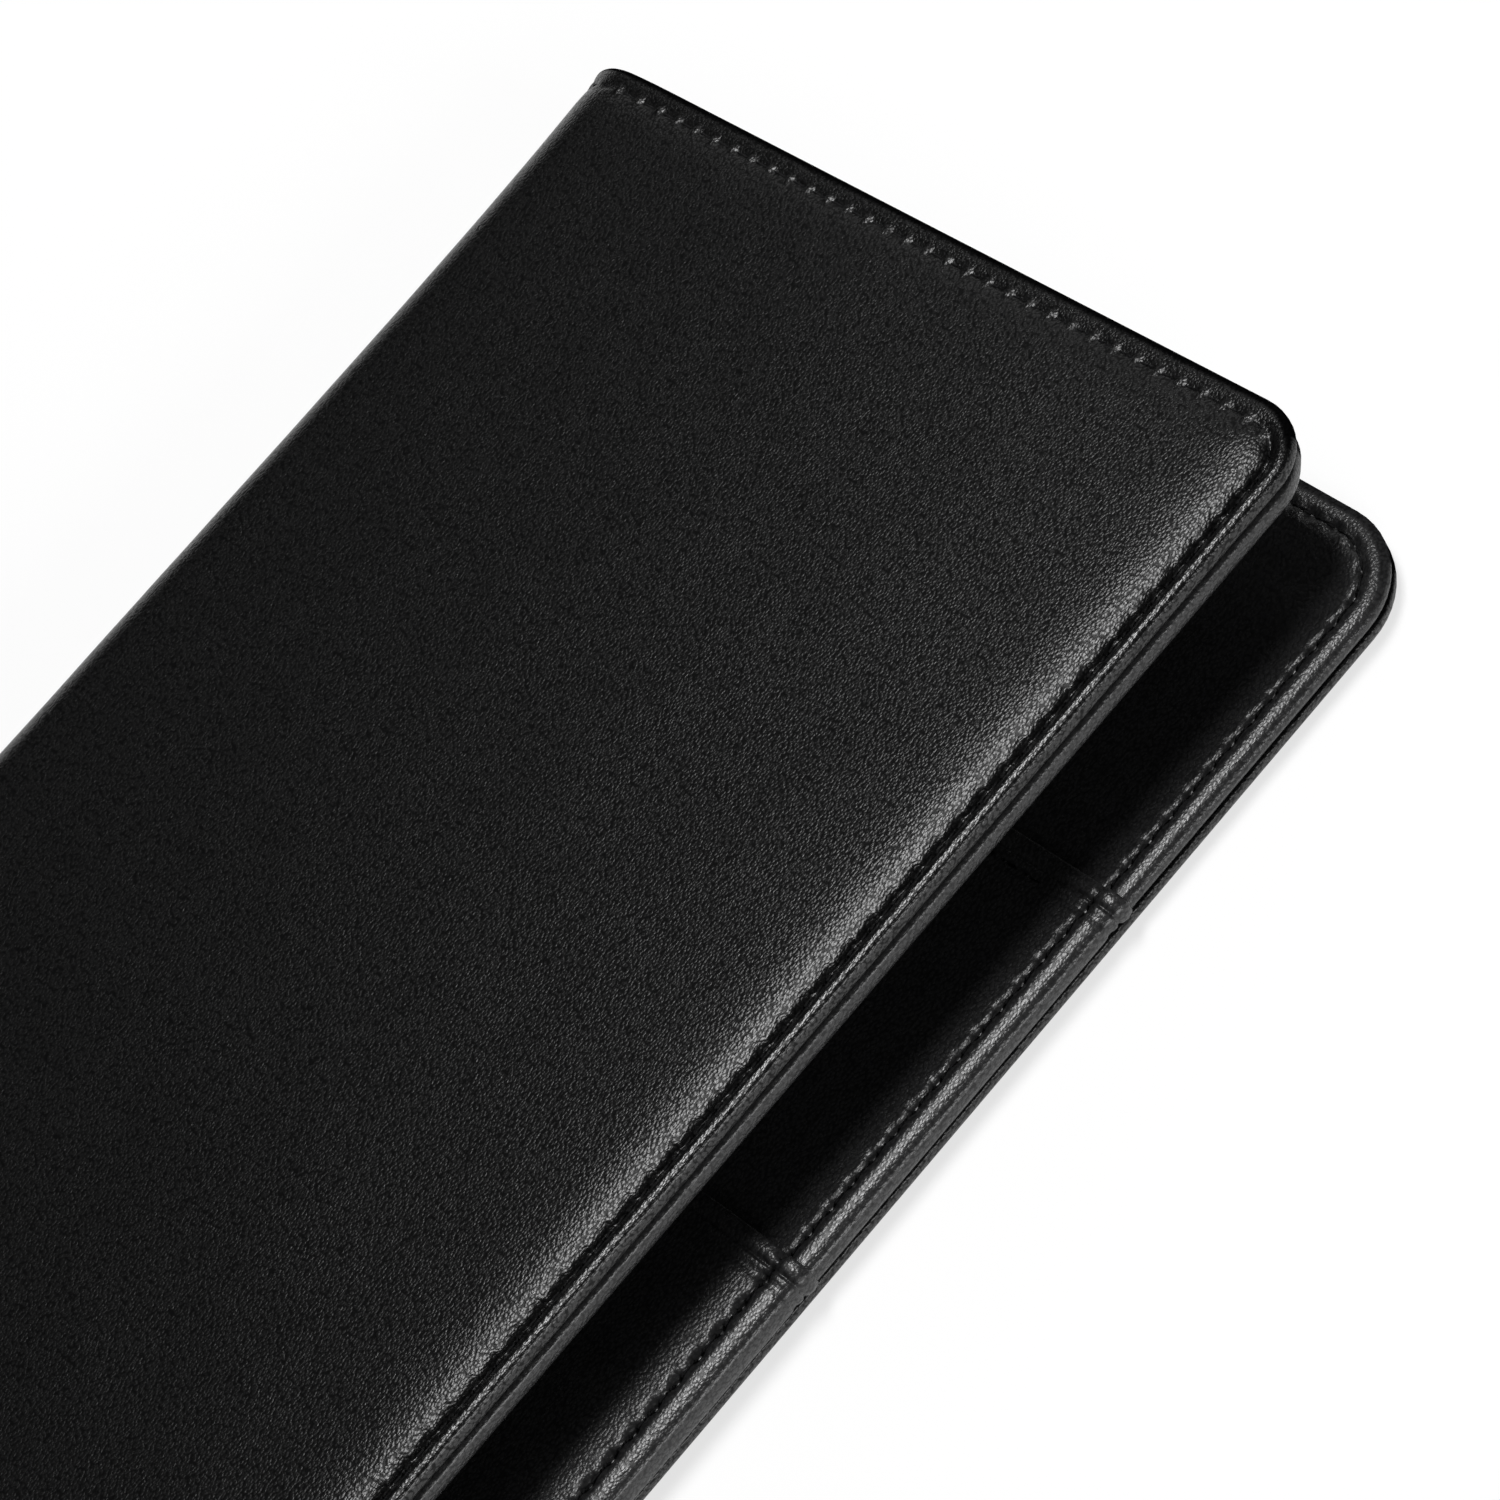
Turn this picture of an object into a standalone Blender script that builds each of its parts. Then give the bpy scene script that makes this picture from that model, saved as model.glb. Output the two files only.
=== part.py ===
# A two-cover leather travel document holder, lying shut on its rear cover.
# X runs from the spine to the free edge, Y along the spine towards the top edge, Z up.
# The pieces are drawn with the covers parallel and the spine as a half round fold,
# and then two hinge lines beside the fold raise the front cover to where it rests.

import math

import bmesh
import bpy
from mathutils import Matrix, Vector

mm = 0.001

# Covers
cover_length = 235 * mm
rear_width = 127.5 * mm        # from the back of the spine to the free edge
front_width = 120 * mm
rear_corner_radius = 10.5 * mm
front_corner_radius = 8 * mm
fold_radius = 7 * mm           # outside of the fold, so the shut holder is twice this thick
rest_opening = math.radians(4)

# Sheets, and the clearance left between two of them
outer_leather = 0.9 * mm
foam_sheet = 0.7 * mm
board_sheet = 0.6 * mm
lining_leather = 0.6 * mm
pocket_leather = 0.6 * mm
slot_leather = 0.45 * mm
clearance = 0.3 * mm

# Stitched edge, measured inwards from the rim
stitch_margin = 3 * mm
rim_width = 1.6 * mm           # crest of the rim, outside the seam's groove
hem_width = 3.9 * mm           # leather turned in round the board
crown_width = 13 * mm          # the padded face rolls down over this width
pad_drop = 1.0 * mm            # how far that roll falls
rim_drop = 0.6 * mm            # the rim's crest below the padded face
rim_round = 0.8 * mm
groove_depth = 0.1 * mm        # groove below the foot of the roll
inside_rim = 0.8 * mm          # rim, groove and ridge above the lining's flat field
inside_groove = 0.35 * mm
inside_ridge = 0.6 * mm
ridge_inset = 4.6 * mm
ridge_width = 6.4 * mm

# What lies inside
board_setback = 3 * mm         # board and foam stop this far short of the fold
foam_inset = 7 * mm
board_inset = 4.6 * mm
pocket_setback = 3 * mm        # rear pockets start this far from the fold
ticket_mouth = 49.3 * mm       # pocket mouths, measured down from the top edge
passport_mouth = 99.5 * mm
slip_mouth = 17 * mm           # front slip pocket opens towards the spine, this far from the fold
slot_setback = 3 * mm          # card slots start this far behind the slip pocket's mouth
slot_mouths = (148 * mm, 162 * mm, 176 * mm)
slot_inset = 5.2 * mm

# Thread
thread_radius = 0.2 * mm
mouth_seam = 3.5 * mm          # seam below a turned pocket mouth
seam_end = 9 * mm              # mouth seams stop this far from the rim

# Fold: each piece keeps to its share of the half round, with room to bend between them
lip_angle = math.radians(45)
leather_relief = math.radians(1.6)
lining_relief = math.radians(6)

# Heights above the outer face of a cover, through its layers
foam_bottom = outer_leather + clearance
foam_top = foam_bottom + foam_sheet
board_bottom = foam_top + clearance
board_top = board_bottom + board_sheet
lining_bottom = board_top + clearance
lining_top = lining_bottom + lining_leather
seam_height = lining_bottom - 2 * clearance
hem_top = seam_height - clearance / 2
hem_bottom = seam_height + clearance / 2

half_length = cover_length / 2
shut_thickness = 2 * fold_radius
groove_edge = stitch_margin + rim_width / 2
corner_steps = 6
lip_steps = 3
beyond_fold = -20 * mm

# Bending a flat sheet into a quarter round shortens its inside: a hinge line
# this far in from both outer faces gives the same length shut and laid flat.
hinge_inset = (1 - math.pi / 4) * fold_radius
spine_hinge_place = Vector((hinge_inset, 0, hinge_inset))
front_hinge_place = Vector((hinge_inset, 0, shut_thickness - hinge_inset))
fold_centre = Vector((fold_radius, 0, fold_radius))


def outline(width, inset):
    """Points round a cover, from the spine along the top edge and back along the bottom."""
    right = width - inset
    top = half_length - inset
    corner = rear_corner_radius if width == rear_width else front_corner_radius
    radius = max(corner - inset, clearance)
    points = [(beyond_fold, top)]
    for step in range(corner_steps + 1):
        angle = math.radians(90 - 90 * step / corner_steps)
        points.append((right - radius + radius * math.cos(angle),
                       top - radius + radius * math.sin(angle)))
    return points + [(x, -y) for x, y in reversed(points)]


def lofted(width, rings):
    """A solid with the cover's outline, through rings of (inset, height)."""
    bm = bmesh.new()
    loops = [[bm.verts.new((x, y, height)) for x, y in outline(width, inset)]
             for inset, height in rings]
    for lower, upper in zip(loops, loops[1:]):
        for place in range(len(lower)):
            bm.faces.new((lower[place - 1], lower[place], upper[place], upper[place - 1]))
    bm.faces.new(reversed(loops[0]))
    bm.faces.new(loops[-1])
    bmesh.ops.recalc_face_normals(bm, faces=bm.faces[:])
    return bm


def cut(bm, place, away):
    """Cut off what lies past a plane, and close the cut; gives the closing faces."""
    everything = bm.verts[:] + bm.edges[:] + bm.faces[:]
    bmesh.ops.bisect_plane(bm, geom=everything, dist=1e-7, plane_co=place, plane_no=away,
                           clear_outer=True)
    open_edges = [edge for edge in bm.edges if edge.is_boundary]
    caps = bmesh.ops.edgeloop_fill(bm, edges=open_edges)["faces"]
    bmesh.ops.recalc_face_normals(bm, faces=bm.faces[:])
    return caps


def round_the_fold(bm, faces, angle, steps):
    """Carry flat faces on round the fold's own centre line."""
    edges = {edge for face in faces for edge in face.edges}
    verts = {vert for face in faces for vert in face.verts}
    bmesh.ops.spin(bm, geom=list(verts) + list(edges) + list(faces), cent=fold_centre,
                   axis=(0, 1, 0), angle=angle, steps=steps, use_merge=False)
    bmesh.ops.recalc_face_normals(bm, faces=bm.faces[:])


def turn_over(bm):
    """A front cover piece is a rear one turned over to the top of the holder."""
    mirror = Matrix.Translation((0, 0, shut_thickness)) @ Matrix.Diagonal((1, 1, -1, 1))
    bmesh.ops.transform(bm, matrix=mirror, verts=bm.verts[:])
    bmesh.ops.recalc_face_normals(bm, faces=bm.faces[:])


def roll(inset):
    """Height of the padded outer face, which falls towards the seam's groove."""
    share = (crown_width - inset) / (crown_width - groove_edge)
    return pad_drop * min(max(share, 0), 1) ** 2


def padded_face(first, last, steps):
    """Rings over the padded face between two insets."""
    insets = [first + (last - first) * step / steps for step in range(steps + 1)]
    return [(inset, roll(inset)) for inset in insets]


def cover_leather_rings():
    """Outer leather: padded face, groove, round rim, and the hem turned in at the back."""
    outside = padded_face(crown_width, groove_edge, 4)
    rim = [(stitch_margin, pad_drop + groove_depth),
           (rim_width + rim_round / 2, (pad_drop + rim_drop) / 2),
           (rim_width, rim_drop), (rim_round, rim_drop),
           (rim_round / 4, rim_drop + rim_round / 3), (0, rim_drop + rim_round)]
    hem = [(0, hem_top - rim_round / 4), (rim_round / 4, hem_top), (hem_width, hem_top)]
    inside = [(inset, height + outer_leather)
              for inset, height in padded_face(hem_width + clearance, crown_width, 2)]
    return outside + rim + hem + inside


def inside_face(start=0.0):
    """Rim, groove and ridge round the inner face, as (inset, rise above its flat field)."""
    face = [(rim_round / 3, inside_rim * 0.6), (rim_round, inside_rim), (rim_width, inside_rim),
            (stitch_margin, inside_groove), (ridge_inset, inside_ridge),
            (ridge_inset + ridge_width / 3, inside_ridge * 0.6),
            (ridge_inset + ridge_width, 0)]
    return [(inset, rise) for inset, rise in face if inset >= start]


def lining_rings():
    """Lining leather: flat underneath, with its edge turned under to meet the hem."""
    under = [(hem_width + clearance, lining_bottom), (hem_width, hem_bottom),
             (rim_round / 4, hem_bottom), (0, hem_bottom + rim_round / 4), (0, lining_top)]
    return under + [(inset, lining_top + rise) for inset, rise in inside_face()]


def layer_rings(bottom, thickness):
    """A pocket layer that lies on the face below it and over the rim."""
    face = inside_face()
    side = bottom + face[0][1]
    under = [(inset, bottom + rise) for inset, rise in reversed(face)]
    edge = [(0, side), (0, side + thickness * 0.6)]
    return under + edge + [(inset, bottom + thickness + rise) for inset, rise in face]


def slot_rings(bottom, thickness):
    """A card slot layer, whose side is caught just inside the rim's seam."""
    rises = [(slot_inset, inside_ridge)] + inside_face(ridge_inset + clearance)
    under = [(inset, bottom + rise) for inset, rise in reversed(rises)]
    return under + [(inset, bottom + thickness + rise) for inset, rise in rises]


def surface_colour(name, colour, roughness):
    """A plain material; black leather, board, foam and thread have no metal in them."""
    material = bpy.data.materials.new(name)
    material.use_nodes = True
    shader = material.node_tree.nodes["Principled BSDF"]
    shader.inputs["Base Color"].default_value = (*colour, 1)
    shader.inputs["Roughness"].default_value = roughness
    shader.inputs["Metallic"].default_value = 0
    material.diffuse_color = (*colour, 1)
    return material


def place(obj, material, body):
    """Give a piece its material, and hang it on its body's hinge line."""
    obj.data.materials.append(material)
    obj.parent = body
    if body is not holder:
        obj.location = -hinge_places[body.name]
    bpy.context.scene.collection.objects.link(obj)
    return obj


def add_mesh(name, bm, material, body):
    mesh = bpy.data.meshes.new(name)
    bmesh.ops.remove_doubles(bm, verts=bm.verts[:], dist=1e-6)
    bmesh.ops.recalc_face_normals(bm, faces=bm.faces[:])
    if bm.calc_volume(signed=True) < 0:
        bmesh.ops.reverse_faces(bm, faces=bm.faces[:])
    bm.to_mesh(mesh)
    bm.free()
    mesh.shade_smooth()
    mesh.set_sharp_from_angle(angle=math.radians(40))
    return place(bpy.data.objects.new(name, mesh), material, body)


def add_thread(name, points, body):
    """One length of thread, as a thin closed tube through its points."""
    curve = bpy.data.curves.new(name, "CURVE")
    curve.dimensions = "3D"
    curve.bevel_depth = thread_radius
    curve.bevel_resolution = 0
    curve.use_fill_caps = True
    spline = curve.splines.new("POLY")
    spline.points.add(len(points) - 1)
    for target, point in zip(spline.points, points):
        target.co = (*point, 1)
    return place(bpy.data.objects.new(name, curve), thread, body)


def add_cover_piece(name, rings, width, material, body, start=0.0, mouth=None):
    """A piece of a cover: lofted, cut at its start and at its mouth, turned over if in front."""
    bm = lofted(width, rings)
    caps = cut(bm, (fold_radius + start, 0, 0), (-1, 0, 0))
    if name.endswith("leather"):
        round_the_fold(bm, caps, lip_angle - leather_relief, lip_steps)
    if name.endswith("lining"):
        round_the_fold(bm, caps, lip_angle - lining_relief, lip_steps)
    if mouth is not None:
        cut(bm, (0, half_length - mouth, 0), (0, 1, 0))
    if body is front:
        turn_over(bm)
    return add_mesh(name, bm, material, body)


def add_spine_piece(name, rings, relief, material):
    """The same section as the covers' own, carried round the middle of the fold."""
    bm = lofted(rear_width, rings)
    caps = cut(bm, (fold_radius, 0, 0), (-1, 0, 0))
    section = set(caps)
    bmesh.ops.delete(bm, geom=[face for face in bm.faces if face not in section],
                     context="FACES")
    start = Matrix.Rotation(lip_angle + relief, 3, "Y")
    bmesh.ops.rotate(bm, cent=fold_centre, matrix=start, verts=bm.verts[:])
    round_the_fold(bm, caps, math.pi - 2 * (lip_angle + relief), 2 * lip_steps)
    return add_mesh(name, bm, material, spine)


def fold_point(angle, y, height):
    """A point in the fold: angle 0 at the rear cover, pi at the front one."""
    reach = fold_radius - height
    return (fold_radius - reach * math.sin(angle), y, fold_radius - reach * math.cos(angle))


def fold_arc(first, last, y, height):
    steps = lip_steps * 2
    return [fold_point(first + (last - first) * step / steps, y, height)
            for step in range(steps + 1)]


def with_steps(points, layers, base):
    """Heights along a seam that climbs onto each pocket layer just outside its mouth."""
    ramp = 2.5 * thread_radius
    raised = []
    for start, end in zip(points, points[1:]):
        raised.append(start)
        marks = []
        for axis, mouth, _ in layers:
            low, high = sorted((start[axis], end[axis]))
            for level in (mouth + ramp, mouth + 3 * ramp):
                if low < level < high:
                    marks.append((level - start[axis]) / (end[axis] - start[axis]))
        for share in sorted(marks):
            raised.append(tuple(a + (b - a) * share for a, b in zip(start, end)))
    raised.append(points[-1])
    return [(x, y, base + sum(rise for axis, mouth, rise in layers
                              if (x, y)[axis] < mouth + 2 * ramp)) for x, y in raised]


def edge_seam(width, start):
    """The seam's line round a cover's three free edges, from the top of the spine."""
    points = outline(width, stitch_margin)
    return [(start, points[0][1])] + points[1:-1] + [(start, points[-1][1])]


def over(points):
    """Points of the rear cover turned over to the front one."""
    return [(x, y, shut_thickness - z) for x, y, z in points]


for old in list(bpy.data.objects):
    bpy.data.objects.remove(old, do_unlink=True)

leather = surface_colour("black_leather", (0.012, 0.012, 0.013), 0.45)
lining = surface_colour("black_lining_leather", (0.010, 0.010, 0.011), 0.5)
foam = surface_colour("dark_foam", (0.05, 0.05, 0.05), 0.95)
board = surface_colour("grey_fibre_board", (0.16, 0.15, 0.14), 0.9)
thread = surface_colour("black_thread", (0.02, 0.02, 0.02), 0.6)

holder = bpy.data.objects.new("holder", None)
spine = bpy.data.objects.new("spine_hinge", None)
front = bpy.data.objects.new("front_hinge", None)
for empty in (holder, spine, front):
    empty.empty_display_size = 10 * mm
    bpy.context.scene.collection.objects.link(empty)
hinge_places = {"spine_hinge": spine_hinge_place, "front_hinge": front_hinge_place}
spine.parent = holder
spine.location = spine_hinge_place
spine.rotation_euler = (0, -rest_opening / 2, 0)
front.parent = spine
front.location = front_hinge_place - spine_hinge_place
front.rotation_euler = (0, -rest_opening / 2, 0)

covers = (("rear", holder, rear_width), ("front", front, front_width))
for side, body, width in covers:
    foam_rings = [(inset, height + foam_bottom)
                  for inset, height in padded_face(crown_width, foam_inset, 2)]
    foam_rings.append((foam_inset, foam_top))
    board_rings = [(board_inset, board_bottom), (board_inset, board_top)]
    add_cover_piece(side + "_cover_leather", cover_leather_rings(), width, leather, body)
    add_cover_piece(side + "_padding", foam_rings, width, foam, body, board_setback)
    add_cover_piece(side + "_board", board_rings, width, board, body, board_setback)
    add_cover_piece(side + "_lining", lining_rings(), width, lining, body)

add_spine_piece("spine_leather", cover_leather_rings(), leather_relief, leather)
add_spine_piece("spine_lining", lining_rings(), lining_relief, lining)

# Rear pockets, each sewn over the one below it
ticket_bottom = lining_top + clearance
passport_bottom = ticket_bottom + pocket_leather + clearance
add_cover_piece("ticket_pocket", layer_rings(ticket_bottom, pocket_leather), rear_width,
                lining, holder, pocket_setback, ticket_mouth)
add_cover_piece("passport_pocket", layer_rings(passport_bottom, pocket_leather), rear_width,
                lining, holder, pocket_setback, passport_mouth)

# Front slip pocket, and the card slots on it
slip_bottom = lining_top + clearance
slip_top = slip_bottom + pocket_leather
add_cover_piece("slip_pocket", layer_rings(slip_bottom, pocket_leather), front_width,
                lining, front, slip_mouth)
slot_start = slip_mouth + slot_setback
slot_bottoms = [slip_top + clearance + number * (slot_leather + clearance)
                for number in range(len(slot_mouths))]
for number, (mouth, bottom) in enumerate(zip(slot_mouths, slot_bottoms), 1):
    add_cover_piece(f"card_slot_{number}", slot_rings(bottom, slot_leather), front_width,
                    lining, front, slot_start, mouth)

# Edge seams: thread in the groove outside and inside, round each cover and over the spine
seam_lift = clearance + thread_radius
outside_height = pad_drop + groove_depth - seam_lift
inside_height = lining_top + inside_groove + seam_lift
outside_lip = lip_angle - leather_relief
inside_lip = lip_angle - lining_relief
pocket_step = clearance + pocket_leather
seam_y = half_length - stitch_margin
rear_layers = [(1, half_length - ticket_mouth, pocket_step),
               (1, half_length - passport_mouth, pocket_step)]
for side, body, width in covers:
    flip = over if body is front else list
    line = edge_seam(width, fold_radius)
    outside = [(x, y, outside_height) for x, y in line]
    top_arc = fold_arc(outside_lip, 0, seam_y, outside_height)[:-1]
    bottom_arc = fold_arc(0, outside_lip, -seam_y, outside_height)[1:]
    add_thread(side + "_outer_thread", flip(top_arc + outside + bottom_arc), body)
rear_inside = with_steps(edge_seam(rear_width, fold_radius + pocket_setback), rear_layers,
                         inside_height)
add_thread("rear_inner_thread", rear_inside, holder)
front_inside = [(x, y, inside_height + pocket_step)
                for x, y in edge_seam(front_width, fold_radius + slip_mouth)]
add_thread("front_inner_thread", over(front_inside), front)
spine_first = lip_angle + leather_relief
for end, y in (("top", seam_y), ("bottom", -seam_y)):
    add_thread(f"spine_{end}_thread",
               fold_arc(spine_first, math.pi - spine_first, y, outside_height), spine)

# Mouth seams on the pockets and the card slots
mouth_seams = (("ticket_pocket_thread", ticket_mouth, ticket_bottom + pocket_leather),
               ("passport_pocket_thread", passport_mouth, passport_bottom + pocket_leather))
for name, mouth, top in mouth_seams:
    y = half_length - mouth - mouth_seam
    ends = (fold_radius + pocket_setback + mouth_seam, rear_width - seam_end - stitch_margin)
    add_thread(name, [(x, y, top + seam_lift) for x in ends], holder)
slip_x = fold_radius + slip_mouth + mouth_seam
slip_ends = (half_length - seam_end - stitch_margin, half_length - slot_mouths[0] + seam_lift)
add_thread("slip_pocket_thread", over([(slip_x, y, slip_top + seam_lift) for y in slip_ends]),
           front)
for number, (mouth, bottom) in enumerate(zip(slot_mouths, slot_bottoms), 1):
    y = half_length - mouth - mouth_seam
    ends = (fold_radius + slot_start + mouth_seam, front_width - seam_end - stitch_margin)
    points = [(x, y, bottom + slot_leather + seam_lift) for x in ends]
    add_thread(f"card_slot_{number}_thread", over(points), front)

# The origin is under the middle of the whole holder, on the surface it lies on
bpy.context.view_layer.update()
corners = [obj.matrix_world @ vert.co for obj in bpy.data.objects if obj.type == "MESH"
           for vert in obj.data.vertices]
lowest = [min(corner[axis] for corner in corners) for axis in range(3)]
highest = [max(corner[axis] for corner in corners) for axis in range(3)]
holder.location = (-(lowest[0] + highest[0]) / 2, -(lowest[1] + highest[1]) / 2, -lowest[2])
bpy.context.view_layer.update()
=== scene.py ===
import bisect
import math

import bmesh
import bpy
from mathutils import Matrix, Vector, noise


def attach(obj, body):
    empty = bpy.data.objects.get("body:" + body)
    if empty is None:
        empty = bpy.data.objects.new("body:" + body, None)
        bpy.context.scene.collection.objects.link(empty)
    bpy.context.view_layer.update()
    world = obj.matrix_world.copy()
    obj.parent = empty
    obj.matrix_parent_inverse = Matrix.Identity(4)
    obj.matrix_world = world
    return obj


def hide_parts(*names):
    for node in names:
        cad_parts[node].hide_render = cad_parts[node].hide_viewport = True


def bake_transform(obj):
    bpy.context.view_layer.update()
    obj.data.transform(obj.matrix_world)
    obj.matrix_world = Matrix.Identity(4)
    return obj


# A long travel document holder in black pebble-grain leather, lying shut on its rear cover.
# Leather is laid out flat in millimetres, with x from the middle of the spine towards the
# free edge, y towards the top edge and depth counted in from a cover's outer face.
# bendToRest then bends it round the fold and opens the cover to where it rests.

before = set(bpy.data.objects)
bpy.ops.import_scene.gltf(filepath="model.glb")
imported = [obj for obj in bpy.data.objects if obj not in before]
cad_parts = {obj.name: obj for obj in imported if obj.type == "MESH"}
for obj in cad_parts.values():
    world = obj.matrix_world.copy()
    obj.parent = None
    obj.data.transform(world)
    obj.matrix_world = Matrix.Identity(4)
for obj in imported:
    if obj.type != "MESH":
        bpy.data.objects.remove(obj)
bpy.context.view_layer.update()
print("frame loaded:", len(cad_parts), "solids")

holder = {
    "length": 235.0,          # all in millimetres, as in the solids
    "foldRadius": 7.0,        # outside of the fold, so the shut holder is twice this thick
    "openAngle": 4.0,         # degrees, shared by the two hinge lines
    "middleX": 63.655,        # from the spine to the middle of the rear cover
    "seamInset": 3.0,         # the edge seams, in from the rim
    "stitch": 3.4,
    "besideFold": 3.0,        # padding and rear pockets begin this far from the fold
}
# recess: how far the ends of the lining stop inside the outer leather
rearCover = {"side": "rear", "width": 127.5, "corner": 10.5, "recess": 0.0}
frontCover = {"side": "front", "width": 120.0, "corner": 8.0, "recess": 0.6}

halfLength = holder["length"] / 2
foldRadius = holder["foldRadius"]
quarterFold = foldRadius * math.pi / 2
hingeInset = (1 - math.pi / 4) * foldRadius
halfOpening = math.radians(holder["openAngle"] / 2)
for cover in (rearCover, frontCover):
    cover["reach"] = cover["width"] - foldRadius + quarterFold     # laid flat, from mid spine
    cover["cornerX"] = cover["reach"] - cover["corner"]
    cover["cornerY"] = halfLength - cover["corner"]
    cover["seamCorner"] = (cover["corner"] - holder["seamInset"]) * math.pi / 2
    cover["seamLength"] = 2 * (cover["cornerX"] + cover["seamCorner"] + cover["cornerY"])


def flatX(fromSpine):
    # x on the flat leather, of a place measured from the outermost line of the spine
    return fromSpine - foldRadius + quarterFold


fieldStart = flatX(foldRadius + holder["besideFold"])


def clamped(value):
    return min(max(value, 0), 1)


def hump(away, width):
    # 1 in its middle, soft to both sides
    return math.exp(-(away / width) ** 2)


def meshFrom(bm, name):
    mesh = bpy.data.meshes.new(name)
    bm.to_mesh(mesh)
    bm.free()
    return mesh


def addObject(name, data):
    obj = bpy.data.objects.new(name, data)
    bpy.context.scene.collection.objects.link(obj)
    return obj


def turned(x, z, aboutX, aboutZ, angle):
    dx, dz = x - aboutX, z - aboutZ
    return (aboutX + dx * math.cos(angle) - dz * math.sin(angle),
            aboutZ + dx * math.sin(angle) + dz * math.cos(angle))


foldFlare = {
    # how far the fold's ends spring out, and the lengths over which that fades
    "out": 2.5, "reach": 20.0, "tip": 1.4, "tipReach": 4.0, "width": 17.0,
    "drawnIn": 1.1, "drawnReach": 3.0,
}
turnWidth = 5.0               # leather on a hinge line turns over this width


def spineShare(x, z):
    # 0 on a cover, 1 on the middle of the spine, for the shut rear half of the fold
    share = clamped((z - x + turnWidth / 2) / turnWidth)
    return share * share * (3 - 2 * share)


def bendToRest(side, x, y, depth):
    if x < quarterFold:
        angle = (quarterFold - x) / foldRadius
        x = foldRadius - (foldRadius - depth) * math.sin(angle)
        z = foldRadius - (foldRadius - depth) * math.cos(angle)
    else:
        x, z = x - quarterFold + foldRadius, depth
    share = spineShare(x, z)
    if x < foldFlare["width"]:
        # the fold springs out a little towards its two ends
        fromEnd = halfLength - min(abs(y), halfLength)
        out = (foldFlare["out"] * math.exp(-fromEnd / foldFlare["reach"])
               + foldFlare["tip"] * math.exp(-fromEnd / foldFlare["tipReach"]))
        near = 1 - x / foldFlare["width"]
        x -= out * near ** 2
        # and its very corner is rounded off
        y -= math.copysign(foldFlare["drawnIn"] * near ** 4
                           * math.exp(-fromEnd / foldFlare["drawnReach"]), y)
    if side == "rear":
        x, z = turned(x, z, hingeInset, hingeInset, halfOpening * share)
    else:
        z = 2 * foldRadius - z
        x, z = turned(x, z, hingeInset, 2 * foldRadius - hingeInset, halfOpening * (1 - share))
        x, z = turned(x, z, hingeInset, hingeInset, halfOpening)
    return Vector((x - holder["middleX"], y, z)) / 1000


def rigidPlace(side, x, z):
    # the same for a point of the shut section that keeps to its cover, or to the spine
    if side == "front":
        x, z = turned(x, z, hingeInset, 2 * foldRadius - hingeInset, halfOpening)
    if side != "rear":
        x, z = turned(x, z, hingeInset, hingeInset, halfOpening)
    return Vector((x - holder["middleX"], 0, z)) / 1000


def bendsWithFold(obj, side):
    # the leather crosses one hinge line, between its cover and the middle of the spine, over half
    # of turnWidth to each side of the fold's radius; here the places on the rigid sections are
    # worked out but not used, and only the object's transform is baked into its mesh
    if side == "rear":
        rigidPlace("rear", 7, 4.5)
        rigidPlace("spine", 4.5, 7)
        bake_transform(obj)
    else:
        rigidPlace("spine", 4.5, 7)
        rigidPlace("front", 7, 9.5)
        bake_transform(obj)


def smoothCurve(points, x):
    # a soft line through (x, value) points in rising order
    if x <= points[0][0]:
        return points[0][1]
    if x >= points[-1][0]:
        return points[-1][1]
    place = bisect.bisect_right([point[0] for point in points], x) - 1
    (x0, v0), (x1, v1) = points[place], points[place + 1]
    before = points[max(place - 1, 0)]
    after = points[min(place + 2, len(points) - 1)]
    span = x1 - x0
    slope0 = (v1 - before[1]) / (x1 - before[0]) * span
    slope1 = (after[1] - v0) / (after[0] - x0) * span
    t = (x - x0) / span
    return ((2 * t ** 3 - 3 * t ** 2 + 1) * v0 + (t ** 3 - 2 * t ** 2 + t) * slope0
            + (3 * t ** 2 - 2 * t ** 3) * v1 + (t ** 3 - t ** 2) * slope1)


def edgePlace(cover, x, y):
    # how far along the seam a point near the edge is, and which way is inwards there
    cornerX, cornerY, seamCorner = cover["cornerX"], cover["cornerY"], cover["seamCorner"]
    beyondX, beyondY = x - cornerX, abs(y) - cornerY
    if beyondX > 0 and beyondY > 0:
        turn = math.atan2(beyondX, beyondY) / (math.pi / 2)
        inwards = Vector((-beyondX, -math.copysign(beyondY, y))).normalized()
        along = cornerX + turn * seamCorner
    elif beyondY >= beyondX:
        inwards = Vector((0, -math.copysign(1, y)))
        along = x
    else:
        inwards = Vector((-1, 0))
        along = cornerX + seamCorner + cornerY - abs(y)
    return (along if y > 0 else cover["seamLength"] - along), inwards


def alongEdge(cover, along, inset):
    # the point that far along the seam, and the direction inwards there
    cornerX, cornerY, seamCorner = cover["cornerX"], cover["cornerY"], cover["seamCorner"]
    half = cover["seamLength"] / 2
    side = 1 if along <= half else -1
    run = min(along, cover["seamLength"] - along)
    if run <= cornerX:
        inwards, x, y = Vector((0, -1)), run, halfLength - inset
    elif run < cornerX + seamCorner:
        angle = (run - cornerX) / seamCorner * math.pi / 2
        inwards = Vector((-math.sin(angle), -math.cos(angle)))
        x = cornerX - inwards.x * (cover["corner"] - inset)
        y = cornerY - inwards.y * (cover["corner"] - inset)
    else:
        inwards, x = Vector((-1, 0)), cover["reach"] - inset
        y = cornerY - (run - cornerX - seamCorner)
    return Vector((x, side * y)), Vector((inwards.x, side * inwards.y))


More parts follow.
